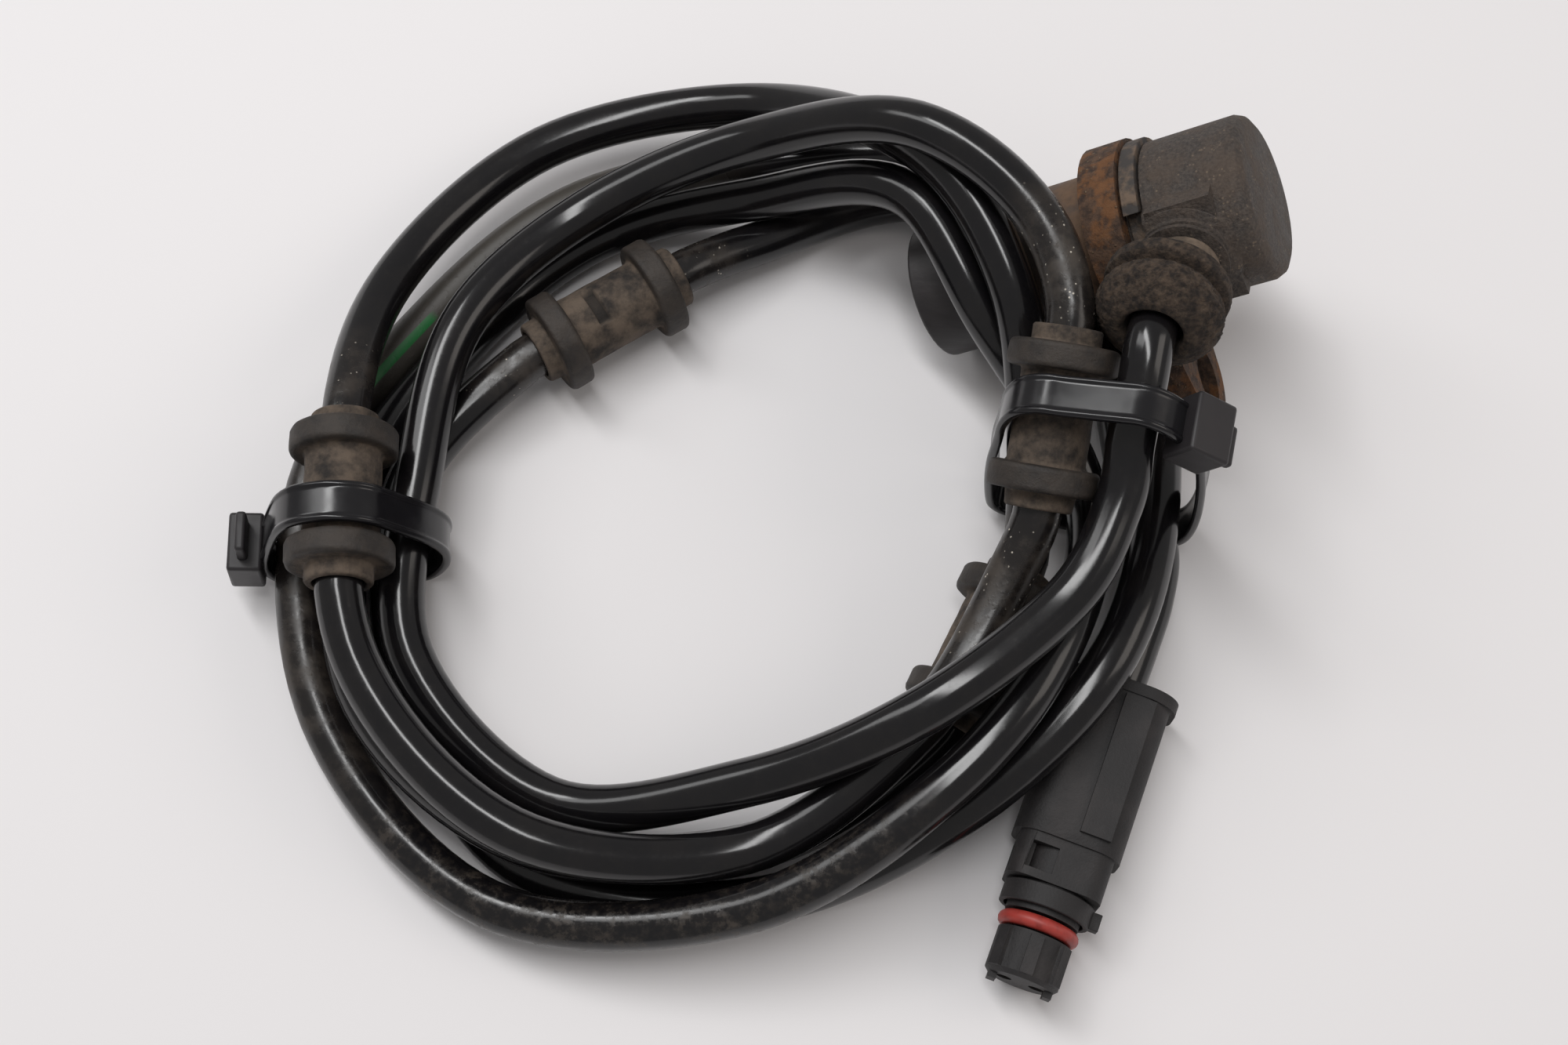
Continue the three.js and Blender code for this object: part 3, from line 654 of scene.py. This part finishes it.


# Grommets. Four moulded rubber sleeves with two flanges each, that once clipped the cable to the car's
# body. Each has a small window near its middle, pushed in a little, whose floor is painted near black as
# painted shade. The rims are rubbed dark, and tan dust lies between them.
GROMMET_FLANGE_RADIUS = 6.2
GROMMET_BORE_EDGE = 3.3
GROMMET_UNEVEN = 0.05
GROMMET_SIDES = 112
GROMMET_LINE_POINTS = 300
GROMMET_HALF_PROFILE = np.array([
    [4.4, 5.0], [4.6, 5.3], [5.7, 5.3], [6.05, 5.45], [6.2, 5.8], [6.2, 7.8], [6.05, 8.15], [5.7, 8.3],
    [4.1, 8.3], [3.95, 8.5], [3.9, 10.0], [3.7, 10.2], [3.05, 10.2],
])
GROMMET_PROFILE = np.vstack([GROMMET_HALF_PROFILE[::-1] * (1.0, -1.0), GROMMET_HALF_PROFILE])
WINDOW_STATION = -1.4
WINDOW_HALF_HEIGHT = 0.75
WINDOW_HALF_ANGLE = 0.6
WINDOW_DEPTH = 0.9
WINDOW_MIN_RADIUS = 4.2
WINDOW_REACH = 3.0
WINDOW_FLOOR = 3.7
WINDOW_FLOOR_BAND = 0.4

grommet_finish = Finish("dusty_grommet_painted_window_shade")
rim = grommet_finish.attribute("rim").step(0.72, 0.96)
# Painted shade: the floor of each window is painted near black, in place of the shade inside a real slot.
window_painted_shade = grommet_finish.attribute("window")
grommet_cloud = grommet_finish.noise(330.0, 6.0, 0.65)
tan = (grommet_cloud.step(0.3, 0.66) * (1.0 - 0.8 * rim)).least(1.0)
grommet_colour = grommet_finish.mix(tan, "#211d1b", "#63564a")
grommet_grain = grommet_finish.noise(2200.0, 5.0, 0.7)
speckled = grommet_finish.mix(grommet_grain.step(0.45, 0.8) * 0.25, grommet_colour, "#40382f")
grommet_finish.surface(
    grommet_finish.mix(window_painted_shade * 0.8, speckled, "#120f0e"),
    0.82 - 0.22 * rim,
    normal=grommet_finish.bump(grommet_grain + grommet_cloud, 0.00012),
)


def grommet_wear(points, line):
    """Slightly uneven rubber, pushed in by the window's depth where the window is."""
    angle = round_angles(points.shape[1])
    around = np.abs(np.angle(np.exp(1j * angle))) < WINDOW_HALF_ANGLE
    along = (np.abs(line[:, 1] - WINDOW_STATION) < WINDOW_HALF_HEIGHT) & (line[:, 0] > WINDOW_MIN_RADIUS)
    uneven = GROMMET_UNEVEN * waves(points, 3.0, 11) * (line[:, 0] > GROMMET_BORE_EDGE)[:, None]
    return uneven - WINDOW_DEPTH * (along[:, None] & around[None, :])


def grommet_places(points, middle, along):
    """Station along the grommet's axis and distance from it, in millimetres from its middle."""
    away = points - row(middle)
    station = away @ along
    distance = np.linalg.norm(away - station[:, None] * along, axis=1)
    return station * MM_PER_METRE, distance * MM_PER_METRE


def moulded_grommet(name, span):
    """Grommet on the straight piece of cable between two degrees travelled, its worn rims marked."""
    ends = smooth_points(span)
    along = (ends[1] - ends[0]) / np.linalg.norm(ends[1] - ends[0])
    middle = ends.mean(axis=0)
    piece = turned(
        name + "_surface",
        GROMMET_PROFILE,
        middle,
        along,
        GROMMET_SIDES,
        GROMMET_LINE_POINTS,
        grommet_finish,
        grommet_wear,
    )

    def rim_share(points):
        """Distance from the axis as a share of the flange's radius."""
        return grommet_places(points, middle, along)[1] / GROMMET_FLANGE_RADIUS

    def window_shade_share(points):
        """1 on the pushed-in floor of the window, where the painted shade goes, 0 elsewhere."""
        station, distance = grommet_places(points, middle, along)
        return (np.abs(station) < WINDOW_REACH) & (np.abs(distance - WINDOW_FLOOR) < WINDOW_FLOOR_BAND)

    values_on(piece, "rim", rim_share)
    # The window attribute marks where the painted shade goes.
    values_on(piece, "window", window_shade_share)
    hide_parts(name)
    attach(piece, "root")
    return piece


grommets = [moulded_grommet(f"grommet_{k + 1}", span) for k, span in enumerate(GROMMET_SPANS)]


# Cable ties. Two black nylon straps pulled tight round the bundle, each with its square head and the
# cut end of the strap. A strap is a shallow channel between two rails and shines; the heads are duller.
STRAP_SECTION = np.array([
    [-2.4, -0.2], [-2.2, -0.5], [-1.9, -0.5], [-1.7, -0.4], [1.7, -0.4], [1.9, -0.5], [2.2, -0.5],
    [2.4, -0.2], [2.4, 0.25], [2.2, 0.55], [1.9, 0.6], [1.6, 0.4], [-1.6, 0.4], [-1.9, 0.6],
    [-2.2, 0.55], [-2.4, 0.25],
])
STRAP_SECTION_POINTS = 72
STRAP_LIFT = 0.15
TIE_SHARP_EDGE = math.radians(50)
TIE_BEVEL = 0.0004
TIE_BEVEL_EDGE = math.radians(60)
TIE_1_PLACE = (35.0, 1.2, 0.0)
TIE_1_TURN = -13.0
TIE_1_LOOP = [
    (-9.9, 3.6), (-10.9, 14.6), (-10.6, 22.6), (-10.7, 27.2), (-9.7, 30.8), (-7.5, 32.7), (-5.1, 33.0),
    (1.3, 34.7), (3.4, 35.3), (5.8, 34.5), (7.8, 32.7), (10.6, 29.2), (12.4, 21.0), (13.6, 11.6),
    (13.6, 5.8), (12.9, 3.0), (11.2, 1.4), (9.0, 0.8), (-6.2, 0.8), (-8.8, 1.6),
]
TIE_1_BLOCKS = [((5.2, 7.0, 5.2), 30.0, (10.1, 0.0, 31.2)), ((2.4, 4.8, 1.2), 30.0, (13.1, 0.0, 29.5))]
TIE_2_PLACE = (-50.8, -5.7, 0.0)
TIE_2_TURN = 2.0
TIE_2_LOOP = [
    (-10.5, 4.6), (-10.3, 8.0), (-6.8, 17.6), (-5.0, 20.5), (-3.2, 21.9), (0.5, 22.8), (4.3, 21.6),
    (6.8, 18.2), (9.8, 14.2), (11.2, 10.4), (10.8, 6.6), (9.3, 3.2), (7.8, 1.4), (6.0, 0.8), (-7.6, 0.8),
    (-9.6, 2.0),
]
TIE_2_BLOCKS = [((4.0, 7.2, 6.4), 8.0, (-12.4, 0.0, 7.4)), ((1.2, 4.8, 5.0), 8.0, (-12.0, 0.0, 11.8))]
HALVES = (-0.5, 0.5)
BLOCK_CORNERS = np.array([(x, y, z) for z in HALVES for y in HALVES for x in HALVES])
BLOCK_FACES = np.array([
    (0, 2, 3, 1), (4, 5, 7, 6), (0, 1, 5, 4), (2, 6, 7, 3), (0, 4, 6, 2), (1, 3, 7, 5),
])

tie_finish = Finish("black_nylon")
tie_haze = tie_finish.noise(240.0, 3.0).step(0.4, 0.75)
head_share = tie_finish.attribute("head")
tie_finish.surface(
    tie_finish.mix(head_share, "#141316", "#252224"), 0.18 + 0.1 * tie_haze + 0.3 * head_share
)


def rounded_loop(loop):
    """Closed line round the loop, its corners cut three times, a quarter off each end of a side."""
    line = np.array(loop, float)
    for _ in range(3):
        after = np.roll(line, -1, axis=0)
        cuts = [0.75 * line + 0.25 * after, 0.25 * line + 0.75 * after]
        line = np.stack(cuts, axis=1).reshape(-1, 2)
    return line


def turned_about(points, angle, first, second):
    """Points turned by the angle in the plane of two of their coordinates."""
    cosine = math.cos(math.radians(angle))
    sine = math.sin(math.radians(angle))
    result = np.array(points, float)
    result[..., first] = points[..., first] * cosine - points[..., second] * sine
    result[..., second] = points[..., first] * sine + points[..., second] * cosine
    return result


def cable_tie(name, loop, blocks, place, turn):
    """Strap section carried round the loop at right angles to it, and the blocks of the head."""
    line = rounded_loop(loop)
    along = np.roll(line, -1, axis=0) - np.roll(line, 1, axis=0)
    along /= np.linalg.norm(along, axis=1)[:, None]
    outward = np.stack([-along[:, 1], along[:, 0]], axis=1)
    section = along_profile(STRAP_SECTION, STRAP_SECTION_POINTS)
    ribbon = line[:, None] + outward[:, None] * (section[:, 1] + STRAP_LIFT)[None, :, None]
    across = np.broadcast_to(section[:, 0], ribbon.shape[:2])
    points = [np.stack([ribbon[..., 0], across, ribbon[..., 1]], axis=-1).reshape(-1, 3)]
    faces = [ring_faces(len(line), len(section), True)]
    for size, tilt, middle in blocks:
        start = sum(len(part) for part in points)
        points.append(turned_about(BLOCK_CORNERS * size, -tilt, 0, 2) + middle)
        faces.append(BLOCK_FACES + start)
    placed = turned_about(np.vstack(points), turn, 0, 1) + place
    piece = solid(name + "_surface", row(placed), np.vstack(faces), tie_finish.material)
    outwards(piece)
    piece.data.set_sharp_from_angle(angle=TIE_SHARP_EDGE)
    strap_count = len(points[0])
    values_on(piece, "head", lambda found: np.arange(len(found)) >= strap_count)
    soften(piece, TIE_BEVEL, 3, TIE_BEVEL_EDGE)
    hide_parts(name)
    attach(piece, "root")
    return piece


ties = [
    cable_tie("cable_tie_1", TIE_1_LOOP, TIE_1_BLOCKS, TIE_1_PLACE, TIE_1_TURN),
    cable_tie("cable_tie_2", TIE_2_LOOP, TIE_2_BLOCKS, TIE_2_PLACE, TIE_2_TURN),
]


# Plug. A two-pole connector in clean matt black plastic with a fine moulded grain: its housing, a loose
# collar in front of it, the ribbed nose, and a red sealing ring.
plug_finish = Finish("grained_plug")
plug_grain = plug_finish.noise(3200.0, 3.0, 0.7)
plug_haze = plug_finish.noise(220.0, 4.0).step(0.4, 0.8)
plug_finish.surface(
    plug_finish.mix(plug_haze, "#1f1d1e", "#302c2c"), 0.62, normal=plug_finish.bump(plug_grain, 0.00006)
)
plug_pieces = [
    dressed("connector_housing", plug_finish, 0.0003),
    dressed("connector_collar", plug_finish, 0.00015),
    dressed("connector_insert", plug_finish, 0.00015),
]
ring_finish = Finish("red_silicone")
ring_cloud = ring_finish.noise(700.0).step(0.4, 0.8)
ring_finish.surface(ring_finish.mix(ring_cloud, "#a83c34", "#7c2c27"), 0.45)
plug_pieces.append(dressed("connector_o_ring", ring_finish, 0.0))
hidden_names = ("contact_pin_1", "contact_pin_2", "connector_rear_seal")
hidden_plug_pieces = [bpy.data.objects[name + "_dressed"] for name in hidden_names]

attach(cable, "root")
grommets + ties + plug_pieces + hidden_plug_pieces
